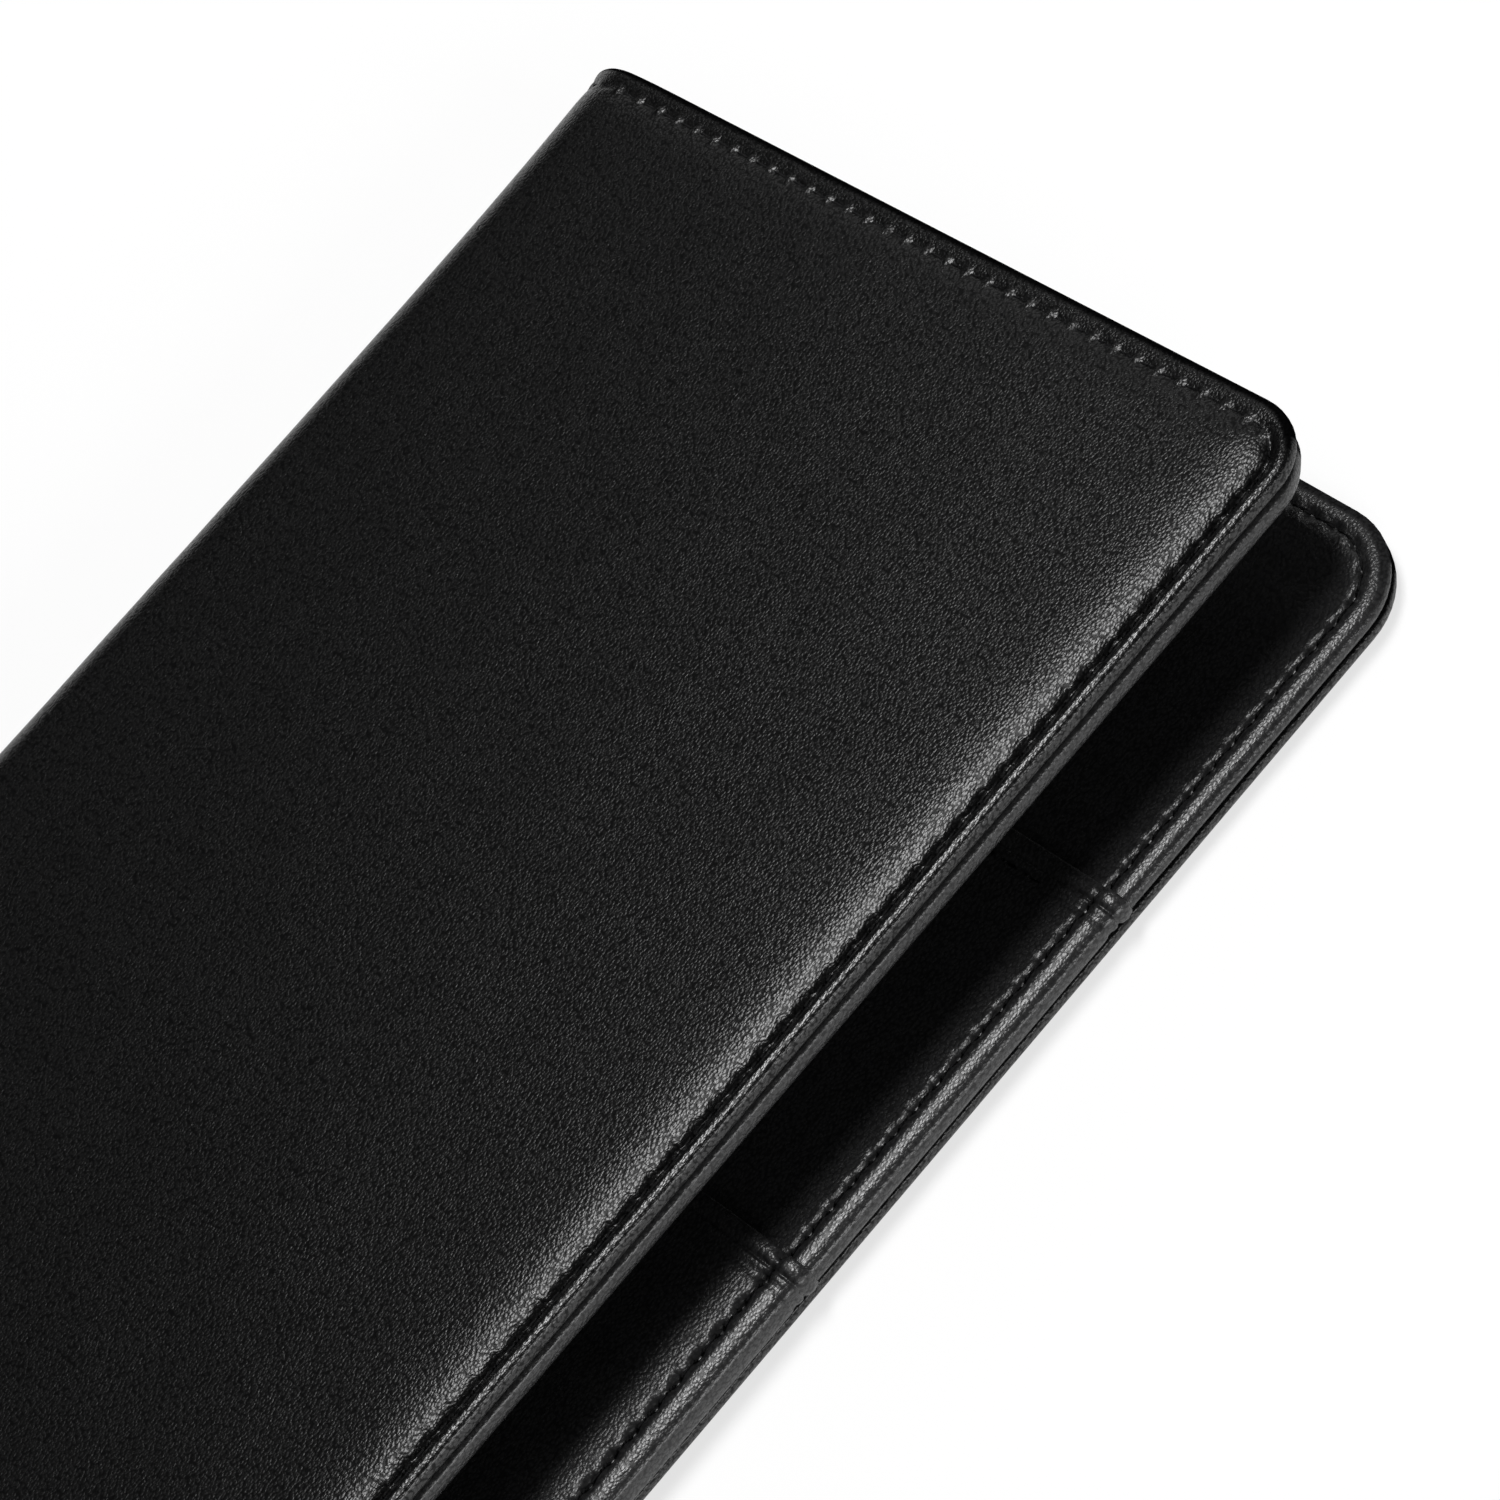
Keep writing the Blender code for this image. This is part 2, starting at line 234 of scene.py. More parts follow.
def seamHoles(cover, anchors):
    # needle holes along a seam, evenly spaced between the places that are known
    holes = [anchors[0]]
    for start, end in zip(anchors, anchors[1:]):
        count = max(round((end - start) / holder["stitch"]), 1)
        holes += [start + (end - start) * number / count for number in range(1, count + 1)]
    return holes


def stitchShare(holes, along):
    # how much of its stitch a place has behind it, 0 at a needle hole
    place = bisect.bisect_right(holes, along) - 1
    if place < 0 or place >= len(holes) - 1:
        return 0
    return (along - holes[place]) / (holes[place + 1] - holes[place])


def stitchPhase(holes, along):
    # 0 at a needle hole and 1 at the middle of a stitch
    return math.sin(math.pi * stitchShare(holes, along)) ** 2


sheetMesh = {
    "step": 1.7, "spineRow": 0.25,       # rows of the field, and the first at mid spine
    "cornerSteps": 12, "long": 0.9,      # longer steps are cut along a seam
    "same": 1e-3,                        # places this near are the same
    "unit": 100,                         # millimetres of leather to one unit of the UV map
    "sharpAngle": 66, "rowsPastSeam": 4,
}


def stepTo(bm, geom, move, count):
    done = bmesh.ops.spin(bm, geom=geom, cent=(0, 0, 0), axis=(0, 0, 1), dvec=move / count,
                          angle=0, steps=count, use_merge=False, use_duplicate=False)
    return done["geom_last"]


def turnCorner(bm, geom, centre, steps):
    done = bmesh.ops.spin(bm, geom=geom, cent=centre, axis=(0, 0, 1), dvec=(0, 0, 0),
                          angle=-math.pi / 2, steps=steps, use_merge=False, use_duplicate=False)
    return done["geom_last"]


def sweptSheet(cover, chain, acrossRuns, edgeRuns, fromTop):
    # chain is the edge's section, swept round the cover; then the field inside it is filled
    cornerSteps, same = sheetMesh["cornerSteps"], sheetMesh["same"]
    bm = bmesh.new()
    row = bm.verts.layers.float.new("row")
    left = cover["cornerX"] - sum(length for length, count in acrossRuns)
    top = -cover["cornerY"] + sum(length for length, count in edgeRuns)
    section = []
    for number, (inset, depth) in enumerate(chain):
        start = (left, halfLength - inset, depth) if fromTop else (cover["reach"] - inset, top,
                                                                     depth)
        vert = bm.verts.new(start)
        vert[row] = number
        section.append(vert)
    geom = section + [bm.edges.new(pair) for pair in zip(section, section[1:])]
    if fromTop:
        for length, count in acrossRuns:
            geom = stepTo(bm, geom, Vector((length, 0, 0)), count)
        geom = turnCorner(bm, geom, (cover["cornerX"], cover["cornerY"], 0), cornerSteps)
    for length, count in edgeRuns:
        geom = stepTo(bm, geom, Vector((0, -length, 0)), count)
    geom = turnCorner(bm, geom, (cover["cornerX"], -cover["cornerY"], 0), cornerSteps)
    for length, count in reversed(acrossRuns):
        geom = stepTo(bm, geom, Vector((-length, 0, 0)), count)
    inner = [edge for edge in bm.edges
             if all(vert[row] == 0 and abs(vert.co.x - cover["cornerX"]) < same
                    for vert in edge.verts) and edge.calc_length() > 10 * same]
    geom = inner + list(dict.fromkeys(vert for edge in inner for vert in edge.verts))
    for length, count in reversed(acrossRuns):
        geom = stepTo(bm, geom, Vector((-length, 0, 0)), count)
    bmesh.ops.remove_doubles(bm, verts=bm.verts[:], dist=same)
    return bm, row


def inSteps(length):
    return length, round(length / sheetMesh["step"])


def wholeCover(cover, foldSteps):
    # the runs from mid spine across the field, and those down the free edge
    start = sheetMesh["spineRow"]
    return ([(start, 1), (quarterFold - start, foldSteps),
             inSteps(cover["cornerX"] - quarterFold)], [inSteps(2 * cover["cornerY"])])


def faceSection(cover, face, insets, base=0):
    # the part of an edge's section that lies inside the corner's radius
    return [(inset, base + smoothCurve(face, inset)) for inset in [cover["corner"]] + insets
            if inset <= cover["corner"]]


def refineSeam(bm, row, band, cuts=3):
    # shorter steps along the seam's groove, for its stitches
    edges = []
    for edge in bm.edges:
        first, second = edge.verts[0][row], edge.verts[1][row]
        if abs(first - second) < sheetMesh["same"] and edge.calc_length() > sheetMesh["long"]:
            if band[0] <= first <= band[-1]:
                edges.append(edge)
    bmesh.ops.subdivide_edges(bm, edges=edges, cuts=cuts, use_grid_fill=True)


def chainNormals(chain, outward):
    normals = []
    for number in range(len(chain)):
        before, after = chain[max(number - 1, 0)], chain[min(number + 1, len(chain) - 1)]
        way = Vector((after[0] - before[0], after[1] - before[1])).normalized()
        normals.append(Vector((-way.y, way.x)) * outward)
    return normals


def turnedLip(run, radius):
    # leather turned under at a mouth: how far below the mouth, and how far under the face
    half = math.pi * radius / 2
    if run > half:
        return radius + run - half, 0
    if run > -half:
        return radius - radius * math.cos(run / radius), radius - radius * math.sin(run / radius)
    return radius - run - half, 2 * radius


shine = {
    # gloss of the flat face, the rims, and the rims at the top and bottom ends: more gloss on the
    # rims is a painted highlight, none at the ends a painted shade
    "face": 0.36, "rim": 0.58, "rearRim": 0.45, "liningRim": 0.55, "ends": 0.0,
    "endFrom": 0.5, "endRise": 2.2,      # how fast a rim's gloss changes round the corner
    "rimInset": 1.25, "rimRise": 2.5,    # and towards the edge
    "foldEnd": 3.0, "foldReach": 8.0,    # dull on the back of the fold, then rising
}


def finishSheet(name, bm, row, cover, chain, shapeOf, outward, thickness, material,
                rimPaintedHighlight=0):
    # gives every vertex its place, unrolls the leather into the UV map, and adds thickness
    unrolled = [0]
    for before, after in zip(chain, chain[1:]):
        unrolled.append(unrolled[-1] + math.hypot(after[0] - before[0], after[1] - before[1]))
    side = cover["side"]
    pattern = {}
    glossWithPaintedLight = bm.verts.layers.float.new("shine")
    for vert in bm.verts:
        x, y, depth = vert.co
        number = round(vert[row])
        along, inwards = edgePlace(cover, x, y)
        flat = Vector((x, y))
        if number > 0:
            inner = flat + inwards * (chain[0][0] - chain[number][0])
            pattern[vert] = inner - inwards * unrolled[number]
        else:
            pattern[vert] = flat
        # painted light in the gloss: the rims get more than the face, a painted highlight, and
        # the rims at the top and bottom ends and the back of the fold lose it, a painted shade
        paintedEndShade = clamped(abs(inwards.y) * shine["endRise"] - shine["endFrom"])
        onRim = clamped((shine["rimInset"] - chain[number][0]) * shine["rimRise"])
        rimPaintedLight = (rimPaintedHighlight or shine["face"]) * (1 - paintedEndShade) + shine["ends"] * paintedEndShade
        vert[glossWithPaintedLight] = (shine["face"] * (1 - onRim) + rimPaintedLight * onRim) * clamped(
            (x - shine["foldEnd"]) / shine["foldReach"])
        x, y, depth = shapeOf(x, y, depth, number, along, inwards)
        vert.co = bendToRest(side, x, y, depth)
    uvLayer = bm.loops.layers.uv.new("UVMap")
    for face in bm.faces:
        for loop in face.loops:
            loop[uvLayer].uv = pattern[loop.vert] / sheetMesh["unit"]
    fieldFaces = [face for face in bm.faces if all(vert[row] == 0 for vert in face.verts)]
    bmesh.ops.recalc_face_normals(bm, faces=bm.faces[:])
    facing = outward if side == "rear" else -outward       # outer faces look away from the middle
    field = sum((face.normal * face.calc_area() for face in fieldFaces), Vector())
    if field.z * facing > 0:
        bmesh.ops.reverse_faces(bm, faces=bm.faces[:])
    obj = addObject(name, meshFrom(bm, name))
    wall = obj.modifiers.new("Thickness", "SOLIDIFY")
    wall.thickness = thickness / 1000
    wall.offset = -1
    bpy.context.view_layer.update()
    solid = bpy.data.meshes.new_from_object(
        obj.evaluated_get(bpy.context.evaluated_depsgraph_get()))
    obj.modifiers.clear()
    obj.data = solid
    solid.name = name
    solid.shade_smooth()
    solid.set_sharp_from_angle(angle=math.radians(sheetMesh["sharpAngle"]))
    solid.materials.clear()
    solid.materials.append(material)
    print(f"{name}: {len(solid.vertices)} vertices")
    return obj


def newMaterial(name):
    material = bpy.data.materials.new(name)
    material.use_nodes = True
    nodes = material.node_tree.nodes
    return material, nodes, material.node_tree.links, nodes["Principled BSDF"]


def mathNode(nodes, links, operation, first, second):
    node = nodes.new("ShaderNodeMath")
    node.operation = operation
    for socket, value in zip(node.inputs, (first, second)):
        if isinstance(value, (int, float)):
            socket.default_value = value
        else:
            links.new(value, socket)
    return node.outputs[0]


def rampNode(nodes, links, source, stops, blend="EASE"):
    node = nodes.new("ShaderNodeValToRGB")
    node.color_ramp.interpolation = blend
    elements = node.color_ramp.elements
    while len(elements) < len(stops):
        elements.new(0.5)
    for element, (place, colour) in zip(elements, stops):
        element.position = place
        element.color = (*colour, 1) if isinstance(colour, tuple) else (colour,) * 3 + (1,)
    links.new(source, node.inputs["Fac"])
    return node.outputs["Color"]


def noiseNode(nodes, links, place, scale, detail, roughness):
    node = nodes.new("ShaderNodeTexNoise")
    for socket, value in (("Scale", scale), ("Detail", detail), ("Roughness", roughness)):
        node.inputs[socket].default_value = value
    links.new(place, node.inputs["Vector"])
    return node


def bumpNode(nodes, links, shader, height, look):
    node = nodes.new("ShaderNodeBump")
    node.inputs["Strength"].default_value = look["bump"]
    node.inputs["Distance"].default_value = look["relief"] / 1000
    links.new(height, node.inputs["Height"])
    links.new(node.outputs["Normal"], shader.inputs["Normal"])


def sheetPlace(nodes):
    node = nodes.new("ShaderNodeUVMap")
    node.uv_map = "UVMap"
    return node.outputs["UV"]


def leatherMaterial(name, look):
    material, nodes, links, shader = newMaterial(name)
    place = sheetPlace(nodes)

    def noiseAt(pebbles, detail):
        # a soft pattern, so many pebbles wide
        return noiseNode(nodes, links, place, sheetMesh["unit"] / (look["pebble"] * pebbles),
                         detail, look["noise"])

    # the pebbles wander a little, so that no row of them shows
    drift = noiseAt(look["driftSize"], 3)
    centred = nodes.new("ShaderNodeVectorMath")
    centred.operation = "MULTIPLY_ADD"
    links.new(drift.outputs["Color"], centred.inputs[0])
    centred.inputs[1].default_value = (look["pebble"] * look["drift"] / sheetMesh["unit"],) * 3
    links.new(place, centred.inputs[2])
    # and they are longer along the cover than across it
    stretched = nodes.new("ShaderNodeVectorMath")
    stretched.operation = "MULTIPLY"
    links.new(centred.outputs[0], stretched.inputs[0])
    stretched.inputs[1].default_value = (1, 1 / look["stretch"], 1)
    pebbles = nodes.new("ShaderNodeTexVoronoi")
    pebbles.feature = "F1"
    pebbles.inputs["Scale"].default_value = sheetMesh["unit"] / look["pebble"]
    links.new(stretched.outputs[0], pebbles.inputs["Vector"])
    crown = rampNode(nodes, links, pebbles.outputs["Distance"], look["dome"], "LINEAR")
    fine = noiseAt(look["fineSize"], 4)
    broad = noiseAt(look["broadSize"], 2)
    fineShare = mathNode(nodes, links, "MULTIPLY", fine.outputs["Fac"], look["fine"])
    broadShare = mathNode(nodes, links, "MULTIPLY", broad.outputs["Fac"], look["broad"])
    height = mathNode(nodes, links, "ADD",
                      mathNode(nodes, links, "ADD", crown, fineShare), broadShare)
    bumpNode(nodes, links, shader, height, look)
    # the colour is darker in the creases, a painted shade, and varies with the broad pattern; the
    # crowns are rubbed a little smoother
    tone = mathNode(nodes, links, "ADD", mathNode(nodes, links, "MULTIPLY", crown, look["tone"]),
                    mathNode(nodes, links, "MULTIPLY", broad.outputs["Fac"], 1 - look["tone"]))
    links.new(rampNode(nodes, links, tone, [(0.0, look["creaseShadeColour"]), (0.9, look["crown"])]),
              shader.inputs["Base Color"])
    links.new(rampNode(nodes, links, tone, [(0.0, look["dull"]), (1.0, look["shine"])]),
              shader.inputs["Roughness"])
    # the creases' gloss falls, a painted shade, and the mesh attribute gives the rims more gloss,
    # a painted highlight, and the rims at the top and bottom ends none, a painted shade
    shader.inputs["Specular IOR Level"].default_value = shine["face"]
    glossWithPaintedLight = nodes.new("ShaderNodeAttribute")
    glossWithPaintedLight.attribute_name = "shine"
    # painted shade: the gloss falls towards the creases
    paintedCreaseShade = rampNode(nodes, links, crown, [(0.0, look["creaseShadeGloss"]), (0.6, 1.0)])
    links.new(mathNode(nodes, links, "MULTIPLY", glossWithPaintedLight.outputs["Fac"], paintedCreaseShade),
              shader.inputs["Specular IOR Level"])
    return material


outerLook = {
    "pebble": 0.32, "relief": 0.029,                        # millimetres
    "stretch": 1.5, "drift": 1.2,                           # in pebbles, as the next line
    "driftSize": 2.5, "fineSize": 0.45, "broadSize": 9,
    "noise": 0.6, "bump": 1.0, "fine": 0.25, "broad": 0.4,
    # a pebble's height against the way out from its middle
    "dome": [(0.0, 1.0), (0.2, 0.9), (0.4, 0.66), (0.55, 0.36), (0.75, 0.0)],
    "tone": 0.6,              # the crowns' share in the colour, before the broad pattern's
    # painted shade: the creases are coloured darker than the crowns, and keep only this share of
    # their gloss
    "creaseShadeColour": (0.0008, 0.0008, 0.0009), "crown": (0.0024, 0.0024, 0.0025),
    "dull": 0.36, "shine": 0.225, "creaseShadeGloss": 0.3,
}
# the lining is coloured lighter than the outer leather: painted light that stands in for light
# reaching the shaded inside of the covers and pockets
liningLook = dict(outerLook, pebble=0.36, stretch=1.3, relief=0.025, creaseShadeGloss=0.6,
                  creaseShadeColour=(0.006, 0.006, 0.0062), crown=(0.019, 0.019, 0.0195))
outerLeather = leatherMaterial("outerLeather", outerLook)
liningLeather = leatherMaterial("liningLeather", liningLook)


def threadMaterial(name, look):
    material, nodes, links, shader = newMaterial(name)
    fibres = nodes.new("ShaderNodeTexWave")
    fibres.bands_direction = "DIAGONAL"
    fibres.inputs["Scale"].default_value = look["fibres"]
    fibres.inputs["Distortion"].default_value = look["waver"]
    links.new(sheetPlace(nodes), fibres.inputs["Vector"])
    links.new(rampNode(nodes, links, fibres.outputs["Fac"],
                       [(0.0, look["dark"]), (1.0, look["light"])]), shader.inputs["Base Color"])
    bumpNode(nodes, links, shader, fibres.outputs["Fac"], look)
    shader.inputs["Roughness"].default_value = look["roughness"]
    shader.inputs["Specular IOR Level"].default_value = look["gloss"]
    return material


thread = threadMaterial("blackThread", {
    "fibres": 2.2, "waver": 1.5, "bump": 0.5, "relief": 0.04, "roughness": 0.7, "gloss": 0.15,
    "dark": (0.003, 0.003, 0.003), "light": (0.010, 0.010, 0.011)})


def solidMaterial(name, look):
    # board and foam, on Object coordinates
    material, nodes, links, shader = newMaterial(name)
    coordinates = nodes.new("ShaderNodeTexCoord")
    specks = noiseNode(nodes, links, coordinates.outputs["Object"], look["scale"],
                       look["detail"], look["noise"])
    links.new(rampNode(nodes, links, specks.outputs["Fac"],
                       [(0.3, look["dark"]), (0.7, look["light"])]), shader.inputs["Base Color"])
    bumpNode(nodes, links, shader, specks.outputs["Fac"], look)
    shader.inputs["Roughness"].default_value = look["roughness"]
    return material


boardLook = {"scale": 900, "detail": 6, "noise": 0.7, "bump": 0.5, "relief": 0.1,
             "roughness": 0.88, "dark": (0.11, 0.10, 0.09), "light": (0.22, 0.21, 0.19)}
foamLook = dict(boardLook, scale=2200, bump=0.8, roughness=0.95,
                dark=(0.03, 0.03, 0.03), light=(0.08, 0.08, 0.08))
board = solidMaterial("greyFibreBoard", boardLook)
foam = solidMaterial("darkFoam", foamLook)
print("materials made")

# the outer leather of both covers
outerEdge = {
    # depth of the face against inset: round rim, groove, padded roll
    "face": [(0.7, 0.545), (0.95, 0.50), (1.2, 0.53), (1.5, 0.67), (1.8, 0.90), (2.1, 1.17),
             (2.4, 1.42), (2.55, 1.42), (2.7, 1.28), (2.95, 1.06), (3.2, 0.92), (3.6, 0.77),
             (4.2, 0.58), (5.0, 0.41), (6.1, 0.26), (7.6, 0.14), (9.6, 0.07), (12.6, 0.03),
             (19.5, 0.0)],
    # the same along the top and bottom, where the padding ends sooner
    "faceEnd": [(0.7, 0.54), (1.1, 0.47), (1.5, 0.44), (2.0, 0.46), (2.5, 0.52), (2.95, 0.58),
                (3.1, 0.57), (3.35, 0.50), (3.6, 0.44), (4.0, 0.36), (4.6, 0.28), (5.4, 0.20),
                (6.5, 0.13), (8.0, 0.08), (10.0, 0.04), (13.0, 0.02), (20.0, 0.0)],
    "rim": [(0.45, 0.64), (0.25, 0.78), (0.13, 0.96), (0.06, 1.18), (0.02, 1.44), (0.0, 1.72),
            (0.0, 2.0), (0.06, 2.22), (0.28, 2.35), (1.0, 2.36), (2.4, 2.36), (3.9, 2.36)],
    "insets": [7.2, 6.2, 5.4, 4.7, 4.15, 3.75, 3.4, 3.2, 3.05, 2.9, 2.75, 2.6, 2.45, 2.3, 2.1,
               1.9, 1.7, 1.5, 1.3, 1.1, 0.9, 0.7],
    "thickness": 0.7, "foldSteps": 15,
    "bandInsets": (1.5, 4.8), "bandDepth": 1.5, "seamCuts": 5,    # the groove, for its stitches
    "softCorner": 12.0, "softTurns": 5,                           # the roll meets at a corner
    "freeSeam": 2.5,          # the seam runs nearer to the rim along the free edge
    "pit": 0.06, "pitWidth": 0.5,
    "bridge": 0.26, "bridgeFree": 0.3, "bridgeLength": 0.5,       # between two stitches
    "scallop": 0.34, "border": 0.6, "borderWidth": 0.5, "borderRise": 1.4,
    "wander": 0.05, "wanderSize": 16,                             # the skin is never quite flat
}


def skinWander(x, y, size, amount):
    # a slow unevenness of the skin, the same on every run
    return amount * (noise.noise(Vector((x / size, y / size, 3.7)))
                     + 0.5 * noise.noise(Vector((x / size * 2.3, y / size * 2.3, 9.1))))


def outerSeamInset(inwards):
    end = inwards.y ** 2
    return holder["seamInset"] * end + outerEdge["freeSeam"] * (1 - end)


def outerFace(inset, inwards):
    # depth of the outer face, between the sections for the free edge and for the ends
    end = inwards.y ** 2
    return (smoothCurve(outerEdge["face"], inset) * (1 - end)
            + smoothCurve(outerEdge["faceEnd"], inset) * end)


def outerCover(name, cover, holes, replaced):
    edge = outerEdge
    chain = faceSection(cover, edge["face"], edge["insets"]) + edge["rim"]
    bm, row = sweptSheet(cover, chain, *wholeCover(cover, edge["foldSteps"]), fromTop=True)
    low, high = edge["bandInsets"]
    band = [number for number, (inset, depth) in enumerate(chain)
            if low < inset < high and depth < edge["bandDepth"]]
    refineSeam(bm, row, band, edge["seamCuts"])
    soften = [vert for vert in bm.verts if vert[row] < band[0] - 1
              and vert.co.x > cover["cornerX"] - edge["softCorner"]
              and abs(vert.co.y) > cover["cornerY"] - edge["softCorner"]]
    for vert in bm.verts:
        number = round(vert[row])
        if number <= len(edge["insets"]):
            inset = chain[number][0] if number else min(
                cover["reach"] - vert.co.x, halfLength - abs(vert.co.y))
            vert.co.z = outerFace(inset, edgePlace(cover, vert.co.x, vert.co.y)[1])
    for turn in range(edge["softTurns"]):
        bmesh.ops.smooth_vert(bm, verts=soften, factor=0.5, use_axis_x=False, use_axis_y=False,
                              use_axis_z=True)

    def shapeOf(x, y, depth, number, along, inwards):
        if number < band[-1] + sheetMesh["rowsPastSeam"]:
            depth += skinWander(x, y, edge["wanderSize"], edge["wander"])
        if band[0] <= number <= band[-1]:
            # leather stands up between the stitches, and the groove's border steps at them
            share = stitchShare(holes, along)
            inset = chain[number][0]
            seam = outerSeamInset(inwards)
            away = min(share, 1 - share) * holder["stitch"] / edge["bridgeLength"]
            bridge = math.exp(-away * away)
            free = edge["bridgeFree"]
            raised = edge["bridge"] * (free + (1 - free) * inwards.y ** 2)
            depth += ((edge["pit"] * (1 - bridge) - raised * bridge)
                      * hump(inset - seam, edge["pitWidth"]))
            shift = (edge["scallop"] * (0.5 - share) * min(away * edge["borderRise"], 1)
                     * hump(inset - seam - edge["border"], edge["borderWidth"]))
            x, y = x + inwards.x * shift, y + inwards.y * shift
        return x, y, depth

    obj = finishSheet(name, bm, row, cover, chain, shapeOf, 1, edge["thickness"], outerLeather,
                      shine["rim" if cover is frontCover else "rearRim"])
    bendsWithFold(obj, cover["side"])
    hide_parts(*replaced)


needle = {
    # places it is known to pass, in from the spine along the top and up the free edge
    "frontTop": 104.85, "frontTopRun": 31 * 3.48, "frontEdge": 38.67,
    "rearStart": 0.3, "innerStart": 1.0, "innerEdge": 101.89, "innerEdgeRun": 30 * 3.3655,
}


def freeEdgeHole(cover, height):
    return cover["cornerX"] + cover["seamCorner"] + cover["cornerY"] - height


frontTopHole = flatX(needle["frontTop"])
frontHoles = seamHoles(frontCover, [
    frontTopHole - needle["frontTopRun"], frontTopHole,
    freeEdgeHole(frontCover, needle["frontEdge"]), frontCover["seamLength"]])
rearHoles = seamHoles(rearCover, [needle["rearStart"],
                                  rearCover["seamLength"] - needle["rearStart"]])
outerCover("frontCoverLeather", frontCover, frontHoles, ["front_cover_leather"])
outerCover("rearCoverLeather", rearCover, rearHoles, ["rear_cover_leather", "spine_leather"])

# linings
liningEdge = {
    # rise of the face above the flat field, against inset
    "face": [(0.8, 0.76), (1.1, 0.84), (1.45, 0.895), (1.8, 0.92), (2.1, 0.89), (2.35, 0.78),
             (2.6, 0.63), (2.8, 0.53), (3.0, 0.50), (3.15, 0.53), (3.35, 0.62), (3.6, 0.68),
             (3.85, 0.66), (4.3, 0.56), (5.0, 0.46), (6.5, 0.33), (8.5, 0.22), (10.5, 0.16),
             (16.0, 0.08), (24.0, 0.0)],
    # the same along the top and bottom, where the groove is shallow
    "faceEnd": [(0.8, 0.69), (1.15, 0.75), (1.55, 0.77), (1.9, 0.75), (2.2, 0.71), (2.6, 0.65),
                (2.85, 0.61), (3.05, 0.60), (3.2, 0.61), (3.45, 0.64), (3.7, 0.64), (4.2, 0.60),
                (5.0, 0.52), (6.5, 0.42), (8.5, 0.29), (10.5, 0.16), (16.0, 0.08),
                (24.0, 0.0)],
    # and what a pocket's layer adds, as it lies on the layers below
    "roll": [(3.0, 0.0), (3.5, 0.03), (4.0, 0.16), (4.8, 0.36), (6.0, 0.58), (8.0, 0.78),
             (10.5, 0.82), (16.0, 0.5), (24.0, 0.0)],
    "insets": [9.6, 8.7, 7.9, 7.2, 6.5, 5.9, 5.4, 5.0, 4.6, 4.25, 3.95, 3.7, 3.5, 3.3, 3.15,
               3.0, 2.8, 2.55, 2.3, 2.1, 1.9, 1.7, 1.5, 1.25, 1.0, 0.8],
    "field": 3.7, "thickness": 0.45, "foldSteps": 12,
    "crest": 0.80, "foot": 2.66, "hem": (1.2, 3.9),               # the rim, and the turned edge
    "bandInsets": (1.7, 4.4), "bandDepth": 3.2,
    "pit": 0.36, "pitWidth": 0.5, "pitLayers": 0.7,               # deeper through more layers
    "ridge": 3.7, "ridgeWidth": 0.4, "ridgeDip": 0.16,
    "wander": 0.04, "wanderSize": 14, "wanderShift": 400,
    "recessInset": 1.3, "recessRise": 1.7,
}


def innerFace(inset, inwards, layers=0):
    # rise of the inner face, between the sections for the free edge and for the ends
    end = inwards.y ** 2
    return (smoothCurve(liningEdge["face"], inset) * (1 - end)
            + smoothCurve(liningEdge["faceEnd"], inset) * end
            + smoothCurve(liningEdge["roll"], inset) * layers)


def rimDown(field, proud, foot):
    # the rim's round outer half and its side, down to the seam between the two leathers
    crest = field + liningEdge["crest"]
    return [(0.55 - proud * 0.3, crest - 0.18), (0.32 - proud * 0.6, crest - 0.34),
            (0.12 - proud * 0.85, crest - 0.58), (-proud, crest - 0.92), (-proud, foot + 0.7),
            (0.05 - proud, foot + 0.42), (0.16 - proud, foot + 0.18), (0.38 - proud * 0.5, foot)]


def innerShape(cover, chain, band, holes, field, lip=None, layers=0):
    edge = liningEdge
    normals = chainNormals(chain, -1)
    # the card slots' sides are cut short of the rim, so they keep their own section
    lastFace = sum(1 for inset, depth in chain if inset in edge["insets"])

    def shapeOf(x, y, depth, number, along, inwards):
        inset = chain[number][0] if number else min(cover["reach"] - x, halfLength - abs(y))
        if number <= lastFace:
            depth = field + innerFace(inset, inwards, layers)
        if number < band[-1] + sheetMesh["rowsPastSeam"]:
            depth += skinWander(x, y + edge["wanderShift"], edge["wanderSize"], edge["wander"])
        if band[0] <= number <= band[-1] and holes:
            phase = stitchPhase(holes, along)
            depth -= (edge["pit"] * (1 + edge["pitLayers"] * layers) * (1 - phase) ** 2
                      * hump(inset - holder["seamInset"], edge["pitWidth"]))
            depth -= (edge["ridgeDip"] * (1 - phase) ** 2
                      * hump(inset - edge["ridge"], edge["ridgeWidth"]))
        if lip is not None:
            x, y, depth = lip(x, y, depth, normals[number], inwards)
        if number > band[-1] and holes:
            recess = (cover["recess"] * min(abs(inwards.y) * edge["recessRise"], 1)
                      * clamped(edge["recessInset"] - inset))
            x, y = x + inwards.x * recess, y + inwards.y * recess
        return x, y, depth

    return shapeOf


def innerBand(chain):
    low, high = liningEdge["bandInsets"]
    return [number for number, (inset, depth) in enumerate(chain)
            if low < inset < high and depth > liningEdge["bandDepth"]]


def innerSheet(name, bm, row, cover, chain, shapeOf, thickness):
    return finishSheet(name, bm, row, cover, chain, shapeOf, -1, thickness, liningLeather,
                       shine["liningRim"])


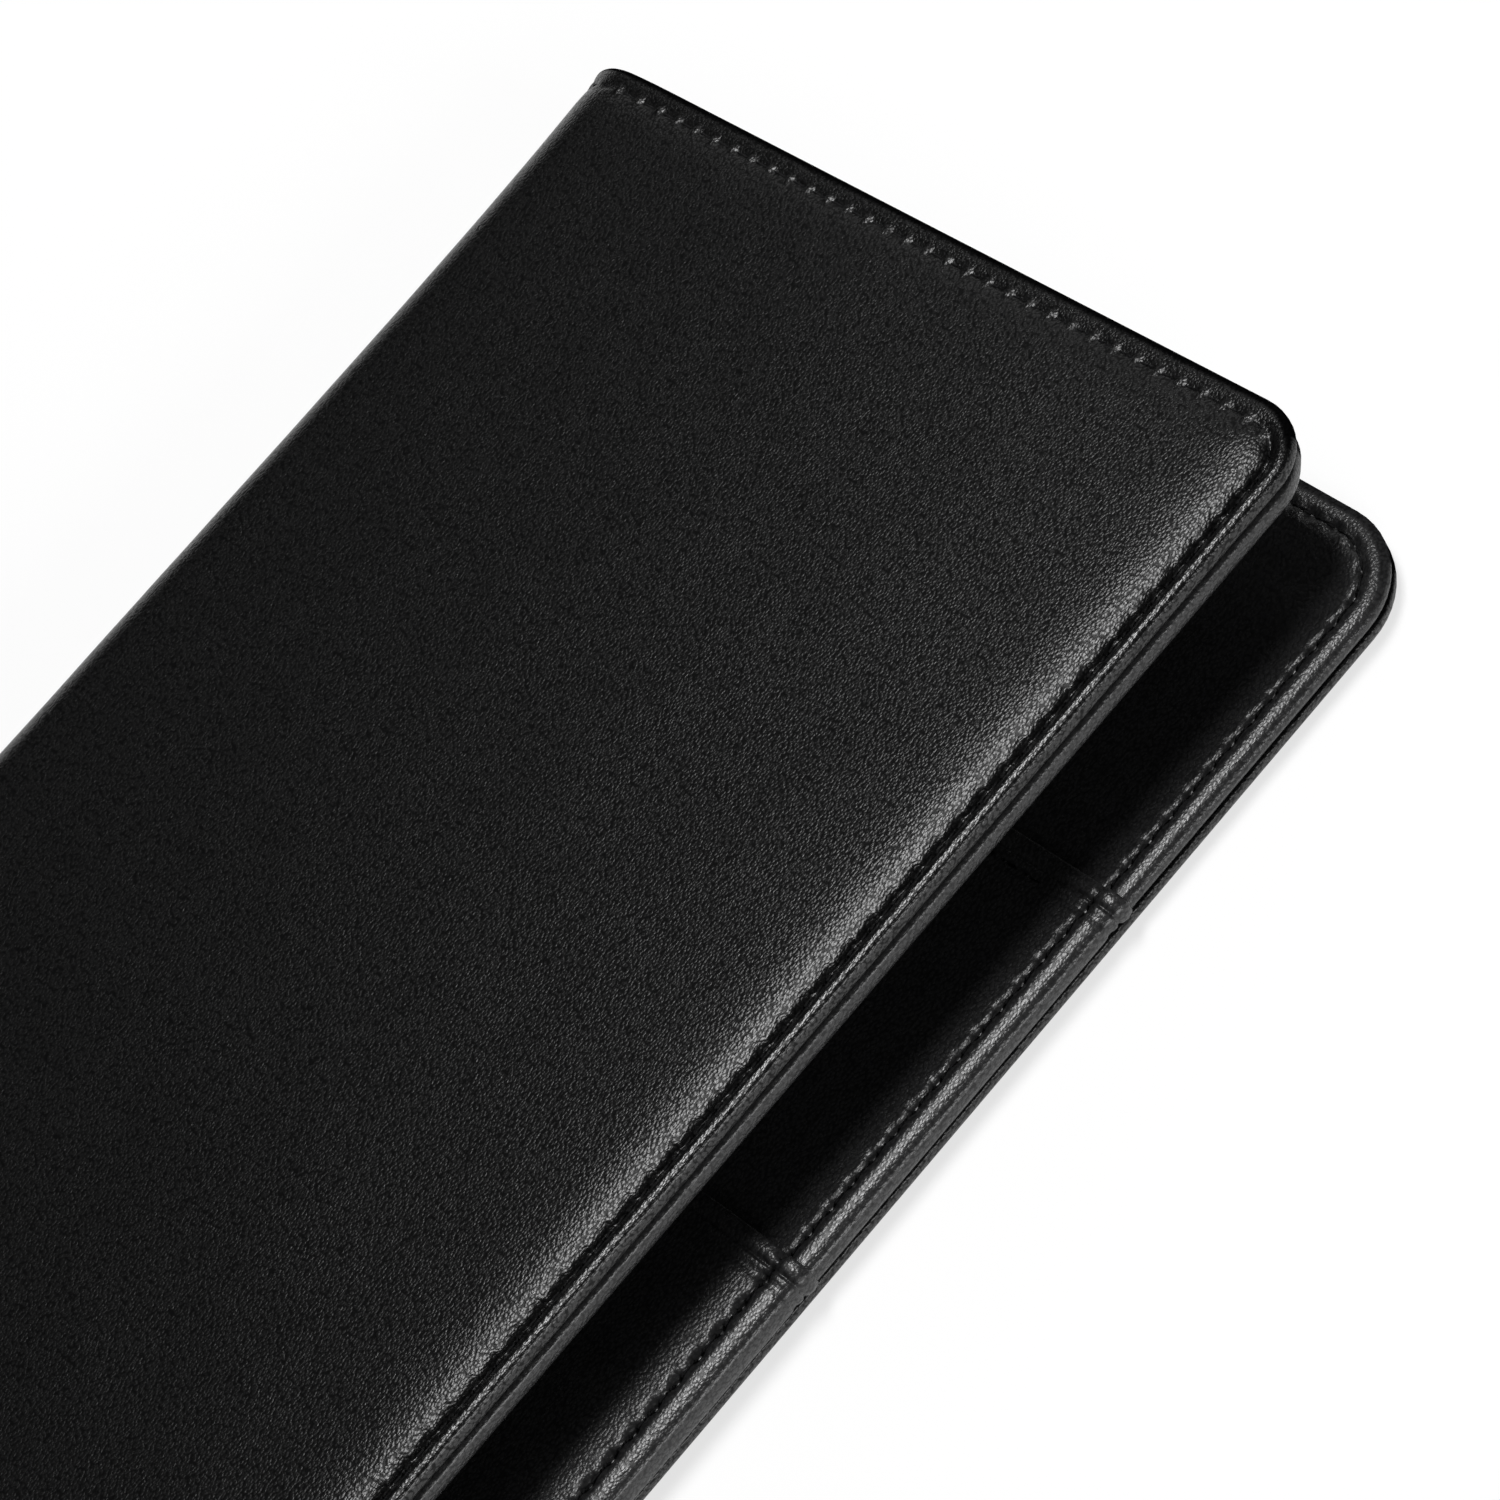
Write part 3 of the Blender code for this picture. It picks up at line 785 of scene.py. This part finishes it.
def coverLining(name, cover, holes, replaced):
    edge = liningEdge
    field = edge["field"]
    chain = faceSection(cover, edge["face"], edge["insets"], field)
    chain += rimDown(field, 0, edge["foot"]) + [(inset, edge["foot"]) for inset in edge["hem"]]
    bm, row = sweptSheet(cover, chain, *wholeCover(cover, edge["foldSteps"]), fromTop=True)
    band = innerBand(chain)
    refineSeam(bm, row, band)
    obj = innerSheet(name, bm, row, cover, chain, innerShape(cover, chain, band, holes, field),
                     edge["thickness"])
    bendsWithFold(obj, cover["side"])
    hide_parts(*replaced)


innerEdgeHole = freeEdgeHole(rearCover, needle["innerEdge"])
rearInnerHoles = seamHoles(rearCover, [
    needle["innerStart"], innerEdgeHole, innerEdgeHole + needle["innerEdgeRun"],
    rearCover["seamLength"] - needle["innerStart"]])
coverLining("rearLining", rearCover, rearInnerHoles, ["rear_lining", "spine_lining"])
coverLining("frontLining", frontCover, frontHoles, ["front_lining"])

# pockets
pocketCut = {
    "lipRadius": 0.24, "under": 1.4, "thickness": 0.26, "foot": 2.72,
    "lipReach": 6,            # how far below the mouth its edge shapes the leather
    "seam": 3.5,              # the mouth's seam, below the turned edge
    "press": 0.2, "pressWidth": 0.45, "pressRise": 0.3,           # pressed down along the seam
    "swell": 0.24, "swellAt": 1.0, "swellWidth": 0.9,
    "hem": 2.1, "hemStep": 0.26, "hemWidth": 0.22,
    "sideSeamEnd": 9.0,
    # runs and their steps over a mouth: the turned edge reaches "under" further
    "mouthReach": 5, "fineMouth": [(2.7, 32), (2.3, 6)], "plainMouth": [(1, 12), (4.0, 8)],
}


def mouthLip(mouth, alongY, holesAcross):
    # the mouth's edge is turned under, and the seam beside it presses it down
    cut = pocketCut

    def lip(x, y, depth, normal, inwards):
        run = mouth - y if alongY else x - mouth
        if run < cut["lipReach"]:
            below, drop = turnedLip(run, cut["lipRadius"])
            if alongY:
                y = mouth - below
            else:
                x = mouth + below
            puffed = (cut["swell"] * hump(below - cut["swellAt"], cut["swellWidth"])
                      - cut["hemStep"] * hump(below - cut["hem"], cut["hemWidth"]))
            pressed = hump(below - cut["seam"], cut["pressWidth"])
            pressed *= 1 - cut["pressRise"] * stitchPhase(holesAcross, x if alongY else y)
            rise = (puffed - cut["press"] * pressed if drop == 0 else puffed) - drop
            flat = Vector((x, y)) + inwards * normal.x * rise
            x, y, depth = flat.x, flat.y, depth + normal.y * rise
        return x, y, depth
    return lip


def evenHoles(first, last):
    count = max(round(abs(last - first) / holder["stitch"]), 1)
    return [first + (last - first) * number / count for number in range(count + 1)]


def overMouth(runs):
    (length, count), later = runs
    return [(pocketCut["under"] + length, count), later]


def rearPocket(pocket):
    cover, cut = rearCover, pocketCut
    field = pocket["face"]
    pocket["mouthY"] = mouthY = halfLength - pocket["mouth"]
    chain = faceSection(cover, liningEdge["face"], liningEdge["insets"], field)
    chain += rimDown(field, pocket["proud"], cut["foot"])
    edgeRuns = overMouth(cut["fineMouth"]) + [
        inSteps(mouthY - cut["mouthReach"] + cover["cornerY"])]
    bm, row = sweptSheet(cover, chain, [inSteps(cover["cornerX"] - fieldStart)], edgeRuns,
                         fromTop=False)
    band = innerBand(chain)
    refineSeam(bm, row, band)
    pocket["holesAcross"] = evenHoles(fieldStart + cut["seam"],
                                      cover["reach"] - cut["sideSeamEnd"])
    lip = mouthLip(mouthY, True, pocket["holesAcross"])
    obj = innerSheet(pocket["name"], bm, row, cover, chain, innerShape(
        cover, chain, band, rearInnerHoles, field, lip, pocket["layers"]), cut["thickness"])
    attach(obj, "rear_cover")
    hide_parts(pocket["node"])


rearPockets = [
    # mouth: down from the top edge, face: depth of its face, proud: past the rim of the one below
    {"name": "ticketPocket", "node": "ticket_pocket", "mouth": 49.3, "face": 4.55, "proud": 0.22,
     "layers": 0.15},
    {"name": "passportPocket", "node": "passport_pocket", "mouth": 99.5, "face": 5.35,
     "proud": 0.42, "layers": 1.0},
]
for pocket in rearPockets:
    rearPocket(pocket)

slipPocket = {"name": "slipPocket", "node": "slip_pocket", "face": 4.55, "proud": 0.2,
              "mouth": 17.0, "seamFrom": 8, "seamTo": 146}         # sewn beside its mouth


def frontSlipPocket(pocket):
    cover, cut = frontCover, pocketCut
    field = pocket["face"]
    pocket["mouthX"] = mouthX = flatX(foldRadius + pocket["mouth"])
    chain = faceSection(cover, liningEdge["face"], liningEdge["insets"], field)
    chain += rimDown(field, pocket["proud"], cut["foot"])
    acrossRuns = overMouth(cut["plainMouth"]) + [
        inSteps(cover["cornerX"] - mouthX - cut["mouthReach"])]
    bm, row = sweptSheet(cover, chain, acrossRuns, [inSteps(2 * cover["cornerY"])],
                         fromTop=True)
    band = innerBand(chain)
    refineSeam(bm, row, band)
    end = halfLength - holder["seamInset"]
    pocket["holesAcross"] = evenHoles(-end, end)
    lip = mouthLip(mouthX, False, pocket["holesAcross"])
    obj = innerSheet(pocket["name"], bm, row, cover, chain,
                     innerShape(cover, chain, band, frontHoles, field, lip), cut["thickness"])
    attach(obj, "front_cover")
    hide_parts(pocket["node"])


frontSlipPocket(slipPocket)

cardSlots = [
    {"name": f"cardSlot{number}", "node": f"card_slot_{number}", "mouth": mouth, "face": face}
    for number, mouth, face in ((1, 148.0, 5.28), (2, 162.0, 5.92), (3, 176.0, 6.56))]
slotCut = {
    "start": 20.0, "insets": [7.4, 6.8, 6.3, 5.8, 5.4],
    # its side goes down here, inside the rim's seam: inset, and drop below the face
    "side": [(5.18, 0.06), (5.1, 0.22), (5.1, 0.45)],
    "band": (2, 2),           # it has no seam of its own along the rim
}


def frontCardSlot(slot):
    cover, cut = frontCover, pocketCut
    field = slot["face"]
    slot["mouthY"] = mouthY = halfLength - slot["mouth"]
    left = flatX(foldRadius + slotCut["start"])
    chain = faceSection(cover, liningEdge["face"], slotCut["insets"], field)
    chain += [(inset, chain[-1][1] - drop) for inset, drop in slotCut["side"]]
    first, later = overMouth(cut["plainMouth"])
    across = cover["cornerX"] - left
    acrossRuns = [first, (across - first[0], inSteps(across)[1])]
    edgeRuns = [first, later, inSteps(mouthY - cut["mouthReach"] + cover["cornerY"])]
    bm, row = sweptSheet(cover, chain, acrossRuns, edgeRuns, fromTop=False)
    slot["holesAcross"] = evenHoles(left + cut["seam"], cover["reach"] - cut["sideSeamEnd"])
    lip = mouthLip(mouthY, True, slot["holesAcross"])
    obj = innerSheet(slot["name"], bm, row, cover, chain,
                     innerShape(cover, chain, slotCut["band"], [], field, lip),
                     cut["thickness"])
    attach(obj, "front_cover")
    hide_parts(slot["node"])


for slot in cardSlots:
    frontCardSlot(slot)

# thread
threadCut = {
    "radius": 0.17, "sides": 6, "flat": (1, 0.8, 1.1), "length": 0.86,    # of a stitch
    # one stitch, a unit long: its rings, and the twist in degrees from ring to ring
    "rings": [-0.5, -0.46, -0.36, -0.22, -0.07, 0.07, 0.22, 0.36, 0.46, 0.5], "twist": 50,
    # both ends grow thinner and dip into their holes: from, over, by
    "taper": (0.36, 0.14, 0.45), "dip": (0.3, 0.2, 0.34),
    "uvLength": 3,
    # how deep the middle lies: outside, more at the ends, inside, and how high over a mouth
    "outerSunk": 0.02, "endSunk": 0.08, "sunk": 0.03, "mouthRise": 0.1,
}


def stitchTemplate():
    # its two plies are twisted and its ends drawn into the holes
    rings = threadCut["rings"]
    bm = bmesh.new()
    uvLayer = bm.loops.layers.uv.new("UVMap")
    bmesh.ops.create_circle(bm, cap_ends=True, segments=threadCut["sides"],
                            radius=threadCut["radius"])
    bmesh.ops.rotate(bm, verts=bm.verts[:], cent=(0, 0, 0),
                     matrix=Matrix.Rotation(math.pi / 2, 3, "Y"))
    bmesh.ops.scale(bm, vec=threadCut["flat"], verts=bm.verts[:])
    bmesh.ops.translate(bm, vec=(rings[0], 0, 0), verts=bm.verts[:])
    cap = bm.faces[:]
    for before, place in zip(rings, rings[1:]):
        done = bmesh.ops.extrude_face_region(bm, geom=cap)
        cap = [item for item in done["geom"] if isinstance(item, bmesh.types.BMFace)]
        ends = [item for item in done["geom"] if isinstance(item, bmesh.types.BMVert)]
        bmesh.ops.translate(bm, vec=(place - before, 0, 0), verts=ends)
        bmesh.ops.rotate(bm, verts=ends, cent=(place, 0, 0), matrix=Matrix.Rotation(
            math.radians(threadCut["twist"]), 3, "X"))
    for vert in bm.verts:
        start, reach, most = threadCut["taper"]
        taper = 1 - most * max(abs(vert.co.x) - start, 0) / reach
        vert.co.y *= taper
        vert.co.z *= taper
        start, reach, most = threadCut["dip"]
        vert.co.z -= most * (max(abs(vert.co.x) - start, 0) / reach) ** 2
    bmesh.ops.recalc_face_normals(bm, faces=bm.faces[:])
    for face in bm.faces:
        for loop in face.loops:
            around = math.atan2(loop.vert.co.y, loop.vert.co.z) / math.pi
            loop[uvLayer].uv = (abs(around), loop.vert.co.x * threadCut["uvLength"])
    return meshFrom(bm, "stitch")


stitchMesh = stitchTemplate()


def sewn(name, rows, nodes):
    # rows: (pairs of holes, placeOf(along, across, height)); all in one piece
    bm = bmesh.new()
    for pairs, placeOf in rows:
        for first, last in pairs:
            known = len(bm.verts)
            bm.from_mesh(stitchMesh)
            bm.verts.ensure_lookup_table()
            middle, length = (first + last) / 2, (last - first) * threadCut["length"]
            for vert in bm.verts[known:]:
                vert.co = placeOf(middle + vert.co.x * length, vert.co.y, vert.co.z)
    bmesh.ops.recalc_face_normals(bm, faces=bm.faces[:])
    mesh = meshFrom(bm, name)
    mesh.shade_smooth()
    mesh.materials.append(thread)
    obj = addObject(name, mesh)
    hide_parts(*nodes)
    print(f"{name}: {sum(len(pairs) for pairs, placeOf in rows)} stitches")
    return obj


def pairsOf(holes):
    return list(zip(holes, holes[1:]))


def edgeRow(cover, depthOf, outward, insetOf=lambda inwards: holder["seamInset"]):
    def placeOf(along, across, height):
        inset = insetOf(alongEdge(cover, along, holder["seamInset"])[1])
        flat, inwards = alongEdge(cover, along, inset + across)
        return bendToRest(cover["side"], flat.x, flat.y, depthOf(along) - outward * height)
    return placeOf


def outerSeam(name, cover, holes, nodes):
    def depthOf(along):
        inwards = alongEdge(cover, along, holder["seamInset"])[1]
        return (outerFace(outerSeamInset(inwards), inwards) + threadCut["outerSunk"]
                + threadCut["endSunk"] * inwards.y ** 2)

    obj = sewn(name, [(pairsOf(holes), edgeRow(cover, depthOf, 1, outerSeamInset))], nodes)
    bendsWithFold(obj, cover["side"])


outerSeam("rearOuterStitches", rearCover, rearHoles, ["rear_outer_thread"])
outerSeam("frontOuterStitches", frontCover, frontHoles,
          ["front_outer_thread", "spine_top_thread", "spine_bottom_thread"])


def rearInnerFace(along):
    # the seam climbs onto each pocket where it passes the mouth
    flat, inwards = alongEdge(rearCover, along, holder["seamInset"])
    faces = [pocket["face"] for pocket in rearPockets
             if flat.y < pocket["mouthY"] and flat.x > fieldStart]
    return (max(faces + [liningEdge["field"]]) + threadCut["sunk"]
            + innerFace(holder["seamInset"], inwards))


def frontInnerFace(along):
    flat, inwards = alongEdge(frontCover, along, holder["seamInset"])
    face = slipPocket["face"] if flat.x > slipPocket["mouthX"] else liningEdge["field"]
    return face + threadCut["sunk"] + innerFace(holder["seamInset"], inwards)


def innerSeam(name, cover, holes, depthOf, nodes):
    obj = sewn(name, [(pairsOf(holes), edgeRow(cover, depthOf, -1))], nodes)
    bendsWithFold(obj, cover["side"])


innerSeam("rearInnerStitches", rearCover, rearInnerHoles, rearInnerFace, ["rear_inner_thread"])
innerSeam("frontInnerStitches", frontCover, frontHoles, frontInnerFace, ["front_inner_thread"])


def mouthSeam(name, side, pocket, body, node, alongY=True):
    def placeOf(along, across, height):
        depth = pocket["face"] + threadCut["mouthRise"] + height
        if alongY:
            return bendToRest(side, along, pocket["mouthY"] - pocketCut["seam"] + across, depth)
        return bendToRest(side, pocket["mouthX"] + pocketCut["seam"] + across, along, depth)

    obj = sewn(name, [(pairsOf(pocket["holesAcross"]), placeOf)], [node])
    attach(obj, body)


for pocket in rearPockets:
    mouthSeam(pocket["name"] + "Stitches", "rear", pocket, "rear_cover",
              pocket["node"] + "_thread")
mouthSeam("slipPocketStitches", "front", dict(slipPocket, holesAcross=[
    hole for hole in slipPocket["holesAcross"]
    if halfLength - slipPocket["seamTo"] < hole < halfLength - slipPocket["seamFrom"]]),
    "front_cover", "slip_pocket_thread", False)
for slot in cardSlots:
    mouthSeam(slot["name"] + "Stitches", "front", slot, "front_cover", slot["node"] + "_thread")

padding = {
    "under": 1.2, "thickness": 0.45, "insets": [9.6, 8.8, 8.1, 7.5, 7.15, 7.0],
    "edge": (6.97, 0.12),     # its last inset, and the drop to there
    "step": 2.5, "rowsAlong": 84, "wander": 0.04, "wanderSize": 9,
}


def foamPad(name, cover, node):
    chain = faceSection(cover, outerEdge["face"], padding["insets"], padding["under"])
    inset, drop = padding["edge"]
    chain += [(inset, chain[-1][1] + drop)]
    across = cover["cornerX"] - fieldStart
    bm, row = sweptSheet(cover, chain, [(across, round(across / padding["step"]))],
                         [(2 * cover["cornerY"], padding["rowsAlong"])], fromTop=True)

    def shapeOf(x, y, depth, number, along, inwards):
        if number == 0:
            inset = min(cover["reach"] - x, halfLength - abs(y))
            depth = padding["under"] + smoothCurve(outerEdge["face"], inset)
        return x, y, depth + skinWander(x, y, padding["wanderSize"], padding["wander"])

    obj = finishSheet(name, bm, row, cover, chain, shapeOf, 1, padding["thickness"], foam)
    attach(obj, cover["side"] + "_cover")
    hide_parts(node)


foamPad("rearFoam", rearCover, "rear_padding")
foamPad("frontFoam", frontCover, "front_padding")

# the rest of the solids keep their shape
for node in ("rear_board", "front_board"):
    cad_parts[node].data.materials.clear()
    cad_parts[node].data.materials.append(board)

cameraPlace = {
    "azimuth": 74.6072, "elevation": 50.919, "roll": -36.8695, "distance": 575.198,
    "focal": 5307.19, "frame": 1500,     # in pixels, of a picture that wide
    "sensor": 36, "clip": (0.01, 200),
    "target": (0.0, 45.0, 10.0), "aside": (-20.6087, -2.0001),
}


def makeCamera():
    azimuth, elevation, roll = (math.radians(cameraPlace[angle])
                                for angle in ("azimuth", "elevation", "roll"))
    back = Vector((math.sin(azimuth) * math.cos(elevation),
                   -math.cos(azimuth) * math.cos(elevation), math.sin(elevation)))
    level = Vector((math.cos(azimuth), math.sin(azimuth), 0))
    above = back.cross(level)
    right = level * math.cos(roll) + above * math.sin(roll)
    up = above * math.cos(roll) - level * math.sin(roll)
    place = (Vector(cameraPlace["target"]) - right * cameraPlace["aside"][0]
             - up * cameraPlace["aside"][1] + back * cameraPlace["distance"]) / 1000
    data = bpy.data.cameras.new("camera")
    data.sensor_width = cameraPlace["sensor"]
    data.lens = cameraPlace["focal"] / cameraPlace["frame"] * cameraPlace["sensor"]
    data.clip_start, data.clip_end = cameraPlace["clip"]
    camera = addObject("camera", data)
    camera.matrix_world = Matrix.Translation(place) @ Matrix(
        (right, up, back)).transposed().to_4x4()
    bpy.context.scene.camera = camera


makeCamera()

studio = {
    "floor": (0.95, 0.95, 0.95), "roughness": 0.9, "gloss": 0.1, "seenWhite": 0.7,
    "world": 0.06,
    "floorReach": 60.0,       # metres, so that low views still end on the floor
    # name, place in metres, aimed at, width, length, watts
    "lamps": [("topSoftbox", (-0.19, 0.22, 1.15), (0.0, 0.03, 0.0), 0.30, 0.60, 12.8),
              ("sideSoftbox", (1.0, -0.1, 0.27), (0.0, 0.03, 0.0), 0.9, 0.5, 6.5),
              ("backSoftbox", (-0.85, 0.95, 0.65), (0.0, 0.05, 0.0), 0.8, 0.4, 0.9)],
}


def makeStudio():
    bm = bmesh.new()
    bmesh.ops.create_grid(bm, x_segments=8, y_segments=8, size=studio["floorReach"])
    floor = addObject("floor", meshFrom(bm, "floor"))
    material, nodes, links, shader = newMaterial("paleFloor")
    shader.inputs["Base Color"].default_value = (*studio["floor"], 1)
    shader.inputs["Roughness"].default_value = studio["roughness"]
    shader.inputs["Specular IOR Level"].default_value = studio["gloss"]
    # seen straight or in a reflection, the floor is whiter, and keeps a pale shadow
    path = nodes.new("ShaderNodeLightPath")
    seen = mathNode(nodes, links, "MAXIMUM", path.outputs["Is Camera Ray"],
                    mathNode(nodes, links, "MAXIMUM", path.outputs["Is Glossy Ray"],
                             path.outputs["Is Transmission Ray"]))
    white = nodes.new("ShaderNodeEmission")
    mix = nodes.new("ShaderNodeMixShader")
    links.new(mathNode(nodes, links, "MULTIPLY", seen, studio["seenWhite"]), mix.inputs[0])
    links.new(shader.outputs[0], mix.inputs[1])
    links.new(white.outputs[0], mix.inputs[2])
    links.new(mix.outputs[0], nodes["Material Output"].inputs["Surface"])
    floor.data.materials.append(material)
    for name, place, target, width, length, watts in studio["lamps"]:
        data = bpy.data.lights.new(name, "AREA")
        data.shape = "RECTANGLE"
        data.size, data.size_y, data.energy = width, length, watts
        lamp = addObject(name, data)
        lamp.location = place
        lamp.visible_camera = False
        lamp.rotation_euler = (Vector(target) - Vector(place)).to_track_quat("-Z", "Y").to_euler()
    world = bpy.data.worlds.new("studio")
    world.use_nodes = True
    background = world.node_tree.nodes["Background"]
    background.inputs["Color"].default_value = (1, 1, 1, 1)
    background.inputs["Strength"].default_value = studio["world"]
    bpy.context.scene.world = world
    bpy.context.scene.view_settings.view_transform = "Standard"


makeStudio()
print("camera and studio made")
